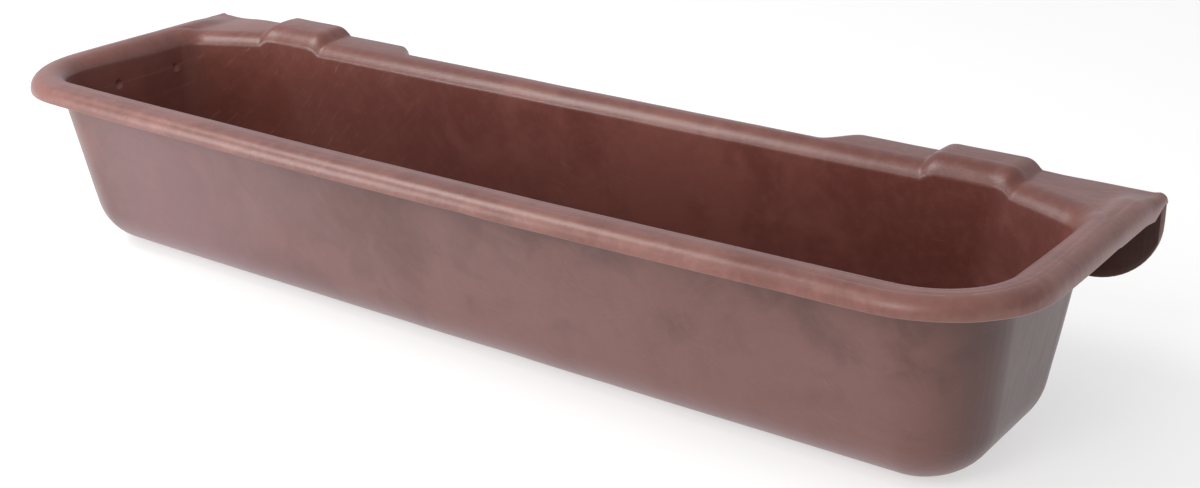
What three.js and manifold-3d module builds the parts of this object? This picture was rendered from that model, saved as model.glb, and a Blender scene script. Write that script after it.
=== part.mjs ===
// Hang-on trough: a long loaf-pan tub moulded in one piece, with a rolled bead on the front and the ends,
// a flat ledge along the rear, two raised saddles over the ledge and two flanges that hang down behind the
// rear wall and hook over a rail. Two rubber bungs close the drain seats in the floor.
// Frame: millimetres, +X along the length, front bead at -Y, hook flanges at +Y, +Z up, floor underside at Z = 0.
import * as THREE from "three";
import { mergeVertices } from "three/addons/utils/BufferGeometryUtils.js";
import Module from "manifold-3d";

// ---- driving dimensions (mm)
const HALF_LENGTH = 500; // outer edge of the end beads
const REAR_Y = 152; // rear face of the hook flanges
const FRONT_Y = -141.3; // front lip at the corners
const BOW = 10.7; // the front rim bows outward by this much at its middle
const WALL = 4;
const RIM_Z = 170; // crown of the front bead
const LEDGE_Z = 166; // top of the rear ledge
const END_BEAD = 28.4; // wall line to outer edge, ends
const FRONT_BEAD = 30; // wall line to outer edge, front
const REAR_WALL_Y = 109; // inner face of the rear wall at the rim
const MID_NOTCH = 20; // the rear rim is this much narrower between the flanges
const NOTCH_X = [222, 251]; // the notch's S-shaped ends
const OUTER_FRONT_R = 90.7;
const OUTER_REAR_R = 6;
const INNER_FRONT_R = 58;
const FLOOR_HALF = 450.2; // wall lines carried down to Z = 0
const FLOOR_FRONT = -86;
const FLOOR_REAR = 109.2;
const FLOOR_FRONT_R = 50;
// the tub's rear corners are cut off by a flat diagonal wall: its corners at the rim and on the floor line,
// and their radii
const CUT_RIM = [[389.9, 109], [471.6, 71.6]];
const CUT_FLOOR = [[360.6, 109.2], [450.2, 68.2]];
const CUT_R_RIM = [60, 27];
const CUT_R_FLOOR = [64, 60];
const TURN_R = 4.5; // tight turn from the wall into the broad rounding of the rim
const TURN_TILT = 60; // degrees from level at which one goes over into the other
const FILLET = 45; // inside fillet between floor and walls
const SADDLE_RISE = 8;
const SADDLE_X = [319, 336, 388, 403]; // foot, top, top, foot along X
const FLANGE_X = [250, 499.5];
const FLANGE_BOTTOM_Z = 88;
const FLANGE_R = 57; // rounded lower corners of a flange
const DIMPLE = { r: 6.1, sink: 2, z: 137, y: [-26, 45] };
const DRAIN_X = 300;
const DRAIN_Y = 11.5;
const PAD_RISE = 8; // raised pad round a drain seat, hollow underneath
const PAD_R = [32, 38];
const DRAIN_R = 11;
const FIT_GAP = 0.3;

const wasm = await Module();
wasm.setup();

const smooth = (a, b, x) => {
  const k = Math.min(1, Math.max(0, (x - a) / (b - a)));
  return k * k * (3 - 2 * k);
};
const mix = (a, b, k) => a + (b - a) * k;
const rad = (d) => (d * Math.PI) / 180;
// Height of the rim: full on the front, lower on the rear ledge, with the end beads running on as ridges.
const crownZ = (x, y) => {
  const front = 1 - smooth(-60, 60, y);
  const ridge =
    (1 - smooth(17, 33, HALF_LENGTH - Math.abs(x))) * (1 - smooth(100, 143, y));
  return LEDGE_Z + (RIM_Z - LEDGE_Z) * Math.max(front, ridge);
};
const bowAt = (x) => -BOW * (1 - (x / HALF_LENGTH) ** 2);

// The inner rear corner as dense samples: wall line at the rim, wall line at the floor, outward direction.
function cutCorner() {
  const phi = Math.atan2(CUT_RIM[0][1] - CUT_RIM[1][1], CUT_RIM[1][0] - CUT_RIM[0][0]);
  const d = [Math.cos(phi), -Math.sin(phi)];
  const curve = ([[x1, y1], [x2, y2]], [r1, r2], part, k) => {
    const l1 = r1 * Math.tan(phi / 2),
      l2 = r2 * Math.tan((Math.PI / 2 - phi) / 2);
    if (part === 1)
      return [
        mix(x1 + d[0] * l1, x2 - d[0] * l2, k),
        mix(y1 + d[1] * l1, y2 - d[1] * l2, k),
      ];
    const a = part ? mix(phi, Math.PI / 2, k) : phi * k;
    return part
      ? [x2 - r2 + r2 * Math.sin(a), y2 - l2 + r2 * Math.cos(a)]
      : [x1 - l1 + r1 * Math.sin(a), y1 - r1 + r1 * Math.cos(a)];
  };
  const out = [];
  for (const part of [0, 1, 2])
    for (let j = 0; j <= 80; j++) {
      const k = j / 80;
      const a = [phi * k, phi, mix(phi, Math.PI / 2, k)][part];
      out.push({
        i: curve(CUT_RIM, CUT_R_RIM, part, k),
        b: curve(CUT_FLOOR, CUT_R_FLOOR, part, k),
        n: [Math.sin(a), Math.cos(a)],
      });
    }
  return out;
}
const CUT = cutCorner();
const FAN = [CUT[0].i[0], CUT.at(-1).i[1]]; // the corner stations fan out from here
const cutAt = (t) => {
  const angle = (c) => Math.atan2(c.i[0] - FAN[0], c.i[1] - FAN[1]);
  for (let j = 1; j < CUT.length; j++) {
    const q = CUT[j],
      p = CUT[j - 1];
    if (angle(q) < t && j < CUT.length - 1) continue;
    const span = angle(q) - angle(p);
    const k = span > 1e-9 ? Math.min(1, Math.max(0, (t - angle(p)) / span)) : 0;
    const two = (u, v) => [mix(u[0], v[0], k), mix(u[1], v[1], k)];
    const n = two(p.n, q.n),
      l = Math.hypot(...n);
    return { i: two(p.i, q.i), b: two(p.b, q.b), n: [n[0] / l, n[1] / l] };
  }
};

// One station of the right-hand half: where the outer edge, the wall line at the rim and the wall line at
// the floor are, which way is outward, and the sizes of the roundings there.
function stations() {
  const list = [];
  const rearX = [
    0, 60, 120, 180, 210, 222, 229, 236, 243, 251, 265, 285, 305, 319, 323, 327,
    331, 336, 350, 363, FAN[0],
  ];
  const rearEdge = (x) =>
    REAR_Y - MID_NOTCH * (1 - smooth(NOTCH_X[0], NOTCH_X[1], x));
  for (const x of rearX) {
    const slope = (rearEdge(x + 0.5) - rearEdge(x - 0.5)) / 1;
    const m = new THREE.Vector2(-slope, 1).normalize();
    const wide = smooth(NOTCH_X[0], NOTCH_X[1], x);
    list.push({
      o: [x, rearEdge(x)],
      i: [x, REAR_WALL_Y],
      b: [(x * CUT[0].b[0]) / FAN[0], FLOOR_REAR],
      n: [0, 1],
      m: [m.x, m.y],
      ri: 20,
      thick: 5,
      ro: mix(5.4, 5.8, wide),
      lip: mix(13, 15, wide),
      rear: true,
    });
  }
  // rear corner: a fan from the cut inner corner out to the nearly square outer one
  const oc = [HALF_LENGTH - OUTER_REAR_R, REAR_Y - OUTER_REAR_R];
  const outer = [];
  for (const x of [382, 388, 392, 396, 400, 403, 418, 436, 455, 472, 485, oc[0]])
    outer.push([[x, REAR_Y], [0, 1]]);
  for (const deg of [30, 60, 90]) {
    const m = [Math.sin(rad(deg)), Math.cos(rad(deg))];
    outer.push([[oc[0] + OUTER_REAR_R * m[0], oc[1] + OUTER_REAR_R * m[1]], m]);
  }
  for (const y of [142, 136, 130, 123, 112, 98, 84, 70, FAN[1]])
    outer.push([[HALF_LENGTH, y], [1, 0]]);
  for (const [o, m] of outer) {
    const t = Math.atan2(o[0] - FAN[0], o[1] - FAN[1]);
    const deg = (t * 180) / Math.PI;
    const onEnd = m[0] > 0.7;
    const side = onEnd ? 1 : 0;
    list.push({
      o,
      ...cutAt(t),
      m,
      ri: 20,
      thick: mix(5, 4.6, smooth(0, 90, deg)),
      ro: mix(
        mix(5.8, 8, smooth(400, 425, o[0])),
        mix(6, 12, smooth(142, 112, o[1])),
        side,
      ),
      lip: onEnd
        ? mix(9, 15.5, smooth(145, 122, o[1]))
        : mix(15, 9, smooth(485, 496, o[0])),
      rear: true,
    });
  }
  // end
  const cof = [HALF_LENGTH - OUTER_FRONT_R, FRONT_Y + OUTER_FRONT_R];
  const cif = [
    HALF_LENGTH - END_BEAD - INNER_FRONT_R,
    FRONT_Y + FRONT_BEAD + INNER_FRONT_R,
  ];
  const cbf = [FLOOR_HALF - FLOOR_FRONT_R, FLOOR_FRONT + FLOOR_FRONT_R];
  for (const k of [0.33, 0.67]) {
    list.push({
      o: [HALF_LENGTH, mix(FAN[1], cof[1], k)],
      i: [HALF_LENGTH - END_BEAD, mix(FAN[1], cif[1], k)],
      b: [FLOOR_HALF, mix(CUT.at(-1).b[1], cbf[1], k)],
      n: [1, 0],
      m: [1, 0],
      ri: 20,
      thick: 4.6,
      ro: 12,
      lip: 15.5,
    });
  }
  // front corner
  for (const deg of [0, 11, 22.5, 34, 45, 56, 67.5, 79, 90]) {
    const t = rad(deg);
    const d = [Math.cos(t), -Math.sin(t)];
    const k = smooth(0, 90, deg);
    const ox = cof[0] + OUTER_FRONT_R * d[0],
      ix = cif[0] + INNER_FRONT_R * d[0];
    list.push({
      o: [ox, cof[1] + OUTER_FRONT_R * d[1] + bowAt(ox) * Math.sin(t)],
      i: [ix, cif[1] + INNER_FRONT_R * d[1] + bowAt(ix) * Math.sin(t)],
      b: [cbf[0] + FLOOR_FRONT_R * d[0], cbf[1] + FLOOR_FRONT_R * d[1]],
      n: d,
      m: d,
      ri: mix(20, 12, k),
      thick: mix(4.6, 2, k),
      ro: 12,
      lip: mix(15.5, 13, k),
    });
  }
  // front
  for (const x of [370, 310, 250, 190, 130, 65, 0]) {
    const k = x / cof[0];
    const ix = cif[0] * k;
    list.push({
      o: [x, FRONT_Y + bowAt(x)],
      i: [ix, FRONT_Y + FRONT_BEAD + bowAt(ix)],
      b: [cbf[0] * k, FLOOR_FRONT],
      n: [0, -1],
      m: [0, -1],
      ri: 12,
      thick: 2,
      ro: 12,
      lip: 13,
    });
  }
  return list;
}

// Upper skin and underside of one station, each from the floor out to the lip.
function section(s) {
  const top = [],
    under = [];
  const put = (to, p, z) => to.push([p[0], p[1], z]);
  const ax = (p, v, k) => [p[0] + v[0] * k, p[1] + v[1] * k];
  const H = crownZ(...s.i);
  const lean = Math.atan2(
    (s.i[0] - s.b[0]) * s.n[0] + (s.i[1] - s.b[1]) * s.n[1],
    H,
  );
  const wall = (z) => [
    mix(s.b[0], s.i[0], z / H),
    mix(s.b[1], s.i[1], z / H),
  ];
  const rise = (row) => {
    if (!s.rear) return 0;
    const x = mix(s.i[0], s.o[0], row);
    const f = SADDLE_X,
      g = [f[0] + 8, f[1] + 8, f[2] - 5, f[3] - 6];
    const at = (q) => smooth(q[0], q[1], x) * (1 - smooth(q[2], q[3], x));
    return SADDLE_RISE * mix(at(g), at(f), row);
  };
  // floor fillet
  {
    const zc = WALL + FILLET;
    const c = ax(wall(zc), s.n, -FILLET / Math.cos(lean));
    for (const k of [0, 0.25, 0.5, 0.75, 1]) {
      const a = k * (Math.PI / 2 - lean);
      const r = FILLET;
      put(top, ax(c, s.n, r * Math.sin(a)), zc - r * Math.cos(a));
      put(
        under,
        ax(c, s.n, (r + WALL) * Math.sin(a)),
        zc - (r + WALL) * Math.cos(a),
      );
    }
  }
  // the wall, whose inner face stands a little further in near the rim
  const R = s.ri,
    r = Math.min(TURN_R, R * 0.4);
  const t1 = rad(TURN_TILT),
    tw = Math.PI / 2 - lean;
  const zTop = H - R + (R - r) * Math.cos(t1) + r * Math.cos(tw);
  const ru = R > 15 ? 11 : R > 12 ? mix(6, 11, (R - 12) / 3) : 6;
  const inward = (z) => s.thick * smooth(62, 150, z);
  for (const z of [96, H - 42]) {
    put(top, ax(wall(z), s.n, -inward(z)), z);
    put(under, ax(wall(z), s.n, WALL / Math.cos(lean)), z);
  }
  // inner rounding: a tight turn, then a broad arc up to the crown
  {
    const cs = ax(wall(zTop), s.n, r * Math.sin(tw) - s.thick);
    const zs = zTop - r * Math.cos(tw);
    const cb = ax(cs, s.n, (R - r) * Math.sin(t1));
    const zb = zs - (R - r) * Math.cos(t1);
    const cu = ax(wall(H - WALL - ru), s.n, (WALL + ru) / Math.cos(lean));
    const up = crownZ(...cb) - H;
    const rows = [
      [cs, zs, r, tw],
      [cs, zs, r, (tw + t1) / 2],
      [cb, zb, R, t1],
      [cb, zb, R, t1 * 0.67],
      [cb, zb, R, t1 * 0.33],
      [cb, zb, R, 0],
    ];
    rows.forEach(([c, z, q, t], j) => {
      const k = j / (rows.length - 1);
      const b = mix(lean, Math.PI / 2, k);
      const dz = rise(0.3 * k) * mix(0.55, 1, k) + up * smooth(0, 1, k);
      put(top, ax(c, s.n, -q * Math.sin(t)), z + q * Math.cos(t) + dz);
      put(
        under,
        ax(cu, s.n, -ru * Math.cos(b)),
        H - WALL - ru + ru * Math.sin(b) + dz,
      );
    });
  }
  // crown, outer rounding and lip
  {
    const c = ax(s.o, s.m, -s.ro);
    const Ho = crownZ(...c);
    const zc = Ho - s.ro;
    const rq = Math.max(s.ro - WALL, 0.6);
    if (s.rear) {
      const p0 = top.at(-1),
        u0 = under.at(-1);
      const p1 = [...c, Ho + rise(1)],
        u1 = [...c, Ho - WALL + rise(1)];
      for (const k of [0.3, 0.6, 0.82]) {
        const p = [0, 1, 2].map((j) => mix(p0[j], p1[j], k));
        const u = [0, 1, 2].map((j) => mix(u0[j], u1[j], k));
        const dz = crownZ(p[0], p[1]) + rise(0.3 + 0.7 * k) - p[2];
        put(top, p, p[2] + dz);
        put(under, u, u[2] + dz);
      }
    } else
      for (const k of [0.3, 0.6, 0.82])
        for (const [to, z] of [[top, Ho], [under, Ho - WALL]]) {
          const q = to.at(-1);
          put(to, [mix(q[0], c[0], k), mix(q[1], c[1], k)], mix(q[2], z, k));
        }
    const full = s.lip >= s.ro;
    const last = full ? Math.PI / 2 : Math.acos(1 - s.lip / s.ro);
    for (const k of [0, 0.33, 0.67, 1]) {
      const a = k * last;
      const dz = rise(1) * mix(1, 0.5, k * k * k);
      put(top, ax(c, s.m, s.ro * Math.sin(a)), zc + s.ro * Math.cos(a) + dz);
      put(
        under,
        ax(c, s.m, rq * Math.sin(a)),
        Ho - WALL - rq + rq * Math.cos(a) + dz,
      );
    }
    const z = Math.min(
      full ? Ho - s.lip - 0.2 : Ho - s.lip - 0.8,
      Math.min(top.at(-1)[2], under.at(-1)[2]) - 0.9,
    );
    const out = full ? 0 : -0.1;
    put(top, ax(top.at(-1), s.m, out), z);
    put(under, ax(under.at(-1), s.m, out), z);
  }
  return [top, under];
}

// Closed shell from the half ring of stations and its mirror image.
function shellGeometry() {
  const half = stations().map(section);
  const flip = (p) => [-p[0], p[1], p[2]];
  const ring = [
    ...half,
    ...half
      .slice(1, -1)
      .reverse()
      .map(([t, u]) => [t.map(flip), u.map(flip)]),
  ];
  const loops = ring.map(([t, u]) => [...t, ...u.slice().reverse()]);
  const n = loops.length,
    m = loops[0].length;
  const position = loops.flat().flat();
  const index = [];
  const id = (s, k) => (s % n) * m + k;
  for (let s = 0; s < n; s++)
    for (let k = 0; k < m - 1; k++)
      index.push(
        id(s, k), id(s + 1, k), id(s, k + 1),
        id(s + 1, k), id(s + 1, k + 1), id(s, k + 1),
      );
  const cap = (k, up) => {
    const outline = loops.map((l) => new THREE.Vector2(l[k][0], l[k][1]));
    for (const [a, b, c] of THREE.ShapeUtils.triangulateShape(outline, [])) {
      const cross =
        (outline[b].x - outline[a].x) * (outline[c].y - outline[a].y) -
        (outline[b].y - outline[a].y) * (outline[c].x - outline[a].x);
      const turn = cross > 0 === up ? [a, b, c] : [a, c, b];
      index.push(...turn.map((v) => id(v, k)));
    }
  };
  cap(0, true);
  cap(m - 1, false);
  const g = new THREE.BufferGeometry();
  g.setAttribute("position", new THREE.Float32BufferAttribute(position, 3));
  g.setIndex(index);
  return g;
}

// ---- solids
function solid(geometry, matrix) {
  const bare = new THREE.BufferGeometry();
  const src = geometry.index ? geometry : geometry.clone();
  bare.setAttribute("position", src.getAttribute("position").clone());
  if (src.index) bare.setIndex(src.index.clone());
  if (matrix) bare.applyMatrix4(matrix);
  const merged = mergeVertices(bare, 1e-4);
  const make = (tri) =>
    new wasm.Manifold(
      new wasm.Mesh({
        numProp: 3,
        vertProperties: merged.attributes.position.array,
        triVerts: tri,
      }),
    );
  let tri = new Uint32Array(merged.index.array);
  let s = make(tri);
  if (s.volume() < 0) {
    for (let i = 0; i < tri.length; i += 3)
      [tri[i + 1], tri[i + 2]] = [tri[i + 2], tri[i + 1]];
    s = make(tri);
  }
  return s;
}
function geometryOf(s) {
  const mesh = s.getMesh();
  const p = new Float32Array(mesh.numVert * 3);
  for (let i = 0; i < mesh.numVert; i++)
    p.set(
      mesh.vertProperties.subarray(i * mesh.numProp, i * mesh.numProp + 3),
      i * 3,
    );
  const g = new THREE.BufferGeometry();
  g.setAttribute("position", new THREE.BufferAttribute(p, 3));
  g.setIndex(new THREE.BufferAttribute(mesh.triVerts, 1));
  g.computeVertexNormals();
  return g;
}
const at = (x, y, z) => new THREE.Matrix4().makeTranslation(x, y, z);
const lathe = (profile, segments) =>
  new THREE.LatheGeometry(
    profile.map(([r, z]) => new THREE.Vector2(r, z)),
    segments,
  ).rotateX(Math.PI / 2);

// Flange outline in the X-Z plane: both lower corners rounded.
function flangeGeometry(side) {
  const [x0, x1] = FLANGE_X;
  const top = LEDGE_Z - 14.2;
  const r = FLANGE_R;
  const s = new THREE.Shape();
  s.moveTo(x0, top);
  s.lineTo(x0, FLANGE_BOTTOM_Z + r);
  s.absarc(x0 + r, FLANGE_BOTTOM_Z + r, r, Math.PI, 1.5 * Math.PI, false);
  s.lineTo(x1 - r, FLANGE_BOTTOM_Z);
  s.absarc(x1 - r, FLANGE_BOTTOM_Z + r, r, 1.5 * Math.PI, 2 * Math.PI, false);
  s.lineTo(x1, top);
  const g = new THREE.ExtrudeGeometry(s, {
    depth: WALL,
    bevelEnabled: false,
    curveSegments: 10,
  });
  g.rotateX(Math.PI / 2).translate(0, REAR_Y, 0); // shape Y to +Z, depth to -Y
  if (side < 0) g.applyMatrix4(new THREE.Matrix4().makeScale(-1, 1, 1));
  return g;
}

let shell = solid(shellGeometry());
for (const side of [1, -1]) {
  shell = shell.add(solid(flangeGeometry(side)));
  // drain seat: a raised pad in the floor with a hollow underneath and a hole through it
  const pad = lathe(
    [[0, 2], [PAD_R[1], 2], [PAD_R[1], WALL], [PAD_R[0], WALL + PAD_RISE], [0, WALL + PAD_RISE]],
    28,
  );
  const hollow = lathe(
    [[0, -1], [PAD_R[1] - 3.4, -1], [PAD_R[1] - 3.4, 0], [PAD_R[0] - 3.4, PAD_RISE], [0, PAD_RISE]],
    28,
  );
  const hole = lathe([[0, -2], [DRAIN_R, -2], [DRAIN_R, 30], [0, 30]], 28);
  const place = at(side * DRAIN_X, DRAIN_Y, 0);
  shell = shell
    .add(solid(pad, place))
    .subtract(solid(hollow, place))
    .subtract(solid(hole, place));
  // blind dimples in the end wall
  const face = mix(FLOOR_HALF, HALF_LENGTH - END_BEAD, DIMPLE.z / RIM_Z);
  for (const y of DIMPLE.y)
    shell = shell.subtract(
      solid(
        new THREE.SphereGeometry(DIMPLE.r, 14, 10),
        at(side * (face + DIMPLE.sink - DIMPLE.r), y, DIMPLE.z),
      ),
    );
}

// Bung: tapered body, sealing head and a waisted grip, turned about its own axis.
function bungGeometry() {
  const seat = WALL + PAD_RISE + FIT_GAP;
  const r = DRAIN_R - FIT_GAP;
  return lathe(
    [
      [0, 3], [r - 1.6, 3], [r, 6], [r, seat], [18, seat], [18, seat + 2.6],
      [16.5, seat + 4], [6, seat + 4], [5, seat + 5.5], [5, seat + 7.5],
      [7, seat + 9], [7, seat + 10.5], [6, seat + 11.5], [0, seat + 11.5],
    ],
    28,
  );
}

// ---- scene graph
const plastic = new THREE.MeshStandardMaterial({
  color: 0x7d5248,
  roughness: 0.5,
  metalness: 0,
  side: THREE.FrontSide,
});
const rubber = new THREE.MeshStandardMaterial({
  color: 0x1d1b1a,
  roughness: 0.75,
  metalness: 0,
});
const part = new THREE.Group();
const shellMesh = new THREE.Mesh(geometryOf(shell), plastic);
shellMesh.name = "trough_shell";
part.add(shellMesh);
const bung = geometryOf(solid(bungGeometry()));
for (const [name, side] of [["drain_bung_left", -1], ["drain_bung_right", 1]]) {
  const mesh = new THREE.Mesh(bung.clone(), rubber.clone());
  mesh.name = name;
  mesh.position.set(side * DRAIN_X, DRAIN_Y, 0);
  part.add(mesh);
}

export default part;
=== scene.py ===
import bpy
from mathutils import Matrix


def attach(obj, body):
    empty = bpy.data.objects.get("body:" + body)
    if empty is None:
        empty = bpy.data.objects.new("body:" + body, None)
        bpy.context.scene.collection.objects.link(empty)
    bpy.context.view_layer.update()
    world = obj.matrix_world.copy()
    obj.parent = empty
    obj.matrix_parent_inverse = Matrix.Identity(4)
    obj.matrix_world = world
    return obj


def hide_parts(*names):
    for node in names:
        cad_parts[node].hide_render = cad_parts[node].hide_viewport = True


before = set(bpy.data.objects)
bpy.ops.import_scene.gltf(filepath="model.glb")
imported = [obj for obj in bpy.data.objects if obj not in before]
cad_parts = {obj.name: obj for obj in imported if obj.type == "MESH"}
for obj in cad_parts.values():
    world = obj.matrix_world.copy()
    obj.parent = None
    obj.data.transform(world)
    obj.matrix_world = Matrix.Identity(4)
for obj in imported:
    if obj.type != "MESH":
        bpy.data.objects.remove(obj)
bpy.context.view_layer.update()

import math

import bmesh
import bpy
import numpy as np
from mathutils import Matrix, Vector, noise
from mathutils.geometry import delaunay_2d_cdt

MM = 0.001
rad = math.radians

# ------------------------------------------------------------------ camera
# Focal length, principal point and pose in the 1200 x 488 frame.
FRAME_W, FRAME_H = 1200, 488
FOCAL_PX = 1696.84
CENTRE_SHIFT = (2.9, -3.49)  # the picture's content lies this many pixels right and down of the middle
YAW, PITCH, ROLL = rad(36.39), rad(21.75), rad(-1.06)
DISTANCE = 1438.11
AIM_OFFSET = (74.82, -4.14)


def make_camera():
    back = Vector((math.sin(YAW) * math.cos(PITCH), -math.cos(YAW) * math.cos(PITCH), math.sin(PITCH)))
    fwd = -back
    right = fwd.cross(Vector((0, 0, 1))).normalized()
    up = right.cross(fwd)
    c, s = math.cos(ROLL), math.sin(ROLL)
    r2 = right * c + up * s
    u2 = up * c - right * s
    aim = Vector((0, 5.4, 70)) + r2 * AIM_OFFSET[0] + u2 * AIM_OFFSET[1]
    where = (aim + back * DISTANCE) * MM
    data = bpy.data.cameras.new("camera")
    data.sensor_fit = "HORIZONTAL"
    data.sensor_width = 36.0
    data.lens = 36.0 * FOCAL_PX / FRAME_W
    data.shift_x = -CENTRE_SHIFT[0] / FRAME_W
    data.shift_y = CENTRE_SHIFT[1] / FRAME_W
    data.clip_start, data.clip_end = 0.05, 60
    cam = bpy.data.objects.new("camera", data)
    bpy.context.scene.collection.objects.link(cam)
    m = Matrix.Identity(4)
    for i in range(3):
        m[i][0], m[i][1], m[i][2], m[i][3] = r2[i], u2[i], back[i], where[i]
    cam.matrix_world = m
    bpy.context.scene.camera = cam


make_camera()

# ------------------------------------------------------------------ dimensions (mm), as in the part
HALF_LENGTH = 500.0
REAR_Y = 152.0
FRONT_Y = -141.3
BOW = 10.7
WALL = 4.0
RIM_Z = 170.0
LEDGE_Z = 166.0
END_BEAD = 28.4
FRONT_BEAD = 30.0
REAR_WALL_Y = 109.0
MID_NOTCH = 20.0
NOTCH_X = (222.0, 251.0)
OUTER_FRONT_R = 90.7
OUTER_REAR_R = 4.2
INNER_FRONT_R = 58.0
FLOOR_HALF = 450.2
FLOOR_FRONT = -86.0
FLOOR_REAR = 109.2
FLOOR_FRONT_R = 50.0
FILLET = 45.0
SADDLE_RISE = 8.0
SADDLE_X = (319.0, 336.0, 388.0, 403.0)
# the tub's rear corners are cut off by a flat diagonal wall: its corners at the rim and on the floor line, and their radii
CUT_RIM = ((389.9, 109.0), (471.6, 71.6))
CUT_FLOOR = ((360.6, 109.2), (450.2, 68.2))
CUT_R_RIM, CUT_R_FLOOR = (60.0, 27.0), (64.0, 60.0)
TURN_R = 4.5       # tight turn from the wall into the broad rounding of the rim
TURN_TILT = 60.0   # degrees from level at which one goes over into the other
FLANGE_X0 = 250.5
FLANGE_BOTTOM_Z = 88.0
FLANGE_R = 54.0
DIMPLE_R, DIMPLE_SINK, DIMPLE_Z, DIMPLE_Y = 6.1, 2.0, 137.0, (-26.0, 45.0)
DRAIN_X, DRAIN_Y = 300.0, 11.5


def smooth(a, b, x):
    k = min(1.0, max(0.0, (x - a) / (b - a)))
    return k * k * (3 - 2 * k)


def lin(a, b, x):
    return min(1.0, max(0.0, (x - a) / (b - a)))


def mix(a, b, k):
    return a + (b - a) * k


def crown_z(x, y):
    """Height of the rim: full on the front, lower on the rear ledge, with the end beads running on over it as ridges."""
    front = 1 - smooth(-60, 60, y)
    ridge = (1 - smooth(17, 33, HALF_LENGTH - abs(x))) * (1 - smooth(100, 143, y))
    return LEDGE_Z + (RIM_Z - LEDGE_Z) * max(front, ridge)


def bow_at(x):
    return -BOW * (1 - (x / HALF_LENGTH) ** 2)


# ------------------------------------------------------------------ the shell's half ring of stations
COF = np.array([HALF_LENGTH - OUTER_FRONT_R, FRONT_Y + OUTER_FRONT_R])
CIF = np.array([HALF_LENGTH - END_BEAD - INNER_FRONT_R, FRONT_Y + FRONT_BEAD + INNER_FRONT_R])
CBF = np.array([FLOOR_HALF - FLOOR_FRONT_R, FLOOR_FRONT + FLOOR_FRONT_R])
OC = np.array([HALF_LENGTH - OUTER_REAR_R, REAR_Y - OUTER_REAR_R])
CORNER_END = 38.0  # degrees round the outer corner at which a flange ends
FLANGE_S1 = OC[0] + OUTER_REAR_R * rad(CORNER_END)


def flange_z(s):
    """Lower edge of a flange at outline length s, or None outside it."""
    if s < FLANGE_X0 - 1e-6 or s > FLANGE_S1 + 1e-6:
        return None
    e = min(s - FLANGE_X0, FLANGE_S1 - s)
    e = max(e, 0.0)
    if e >= FLANGE_R:
        return FLANGE_BOTTOM_Z
    return FLANGE_BOTTOM_Z + FLANGE_R - math.sqrt(FLANGE_R ** 2 - (FLANGE_R - e) ** 2)


def rear_edge(x):
    return REAR_Y - MID_NOTCH * (1 - smooth(NOTCH_X[0], NOTCH_X[1], x))


def cut_corner():
    """The inner rear corner as dense samples: wall line at the rim, wall line at the floor, outward direction."""
    (ax, ay), (bx, by) = CUT_RIM
    phi = math.atan2(ay - by, bx - ax)
    out = []

    def curve(corners, radii, s, k):
        (x1, y1), (x2, y2) = corners
        r1, r2 = radii
        l1, l2 = r1 * math.tan(phi / 2), r2 * math.tan((math.pi / 2 - phi) / 2)
        d = np.array([math.cos(phi), -math.sin(phi)])
        c1 = np.array([x1 - l1, y1 - r1])
        c2 = np.array([x2 - r2, y2 - l2])
        p1 = np.array([x1, y1]) + d * l1
        p2 = np.array([x2, y2]) - d * l2
        if s == 0:
            a = phi * k
            return c1 + r1 * np.array([math.sin(a), math.cos(a)]), a
        if s == 1:
            return p1 + (p2 - p1) * k, phi
        a = phi + (math.pi / 2 - phi) * k
        return c2 + r2 * np.array([math.sin(a), math.cos(a)]), a

    for s in range(3):
        for j in range(81):
            i, a = curve(CUT_RIM, CUT_R_RIM, s, j / 80)
            f, _ = curve(CUT_FLOOR, CUT_R_FLOOR, s, j / 80)
            out.append((i, f, np.array([math.sin(a), math.cos(a)])))
    return out


CUT = cut_corner()
FAN = np.array([CUT[0][0][0], CUT[-1][0][1]])  # the fan of corner stations spreads from here
CUT_ANGLE = [math.atan2(i[0] - FAN[0], i[1] - FAN[1]) for i, _, _ in CUT]


def cut_at(t):
    for j in range(1, len(CUT)):
        if CUT_ANGLE[j] >= t or j == len(CUT) - 1:
            span = CUT_ANGLE[j] - CUT_ANGLE[j - 1]
            k = min(1.0, max(0.0, (t - CUT_ANGLE[j - 1]) / span)) if span > 1e-9 else 0.0
            i, f, n = (mix(CUT[j - 1][q], CUT[j][q], k) for q in range(3))
            return i, f, n / np.linalg.norm(n)


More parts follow.
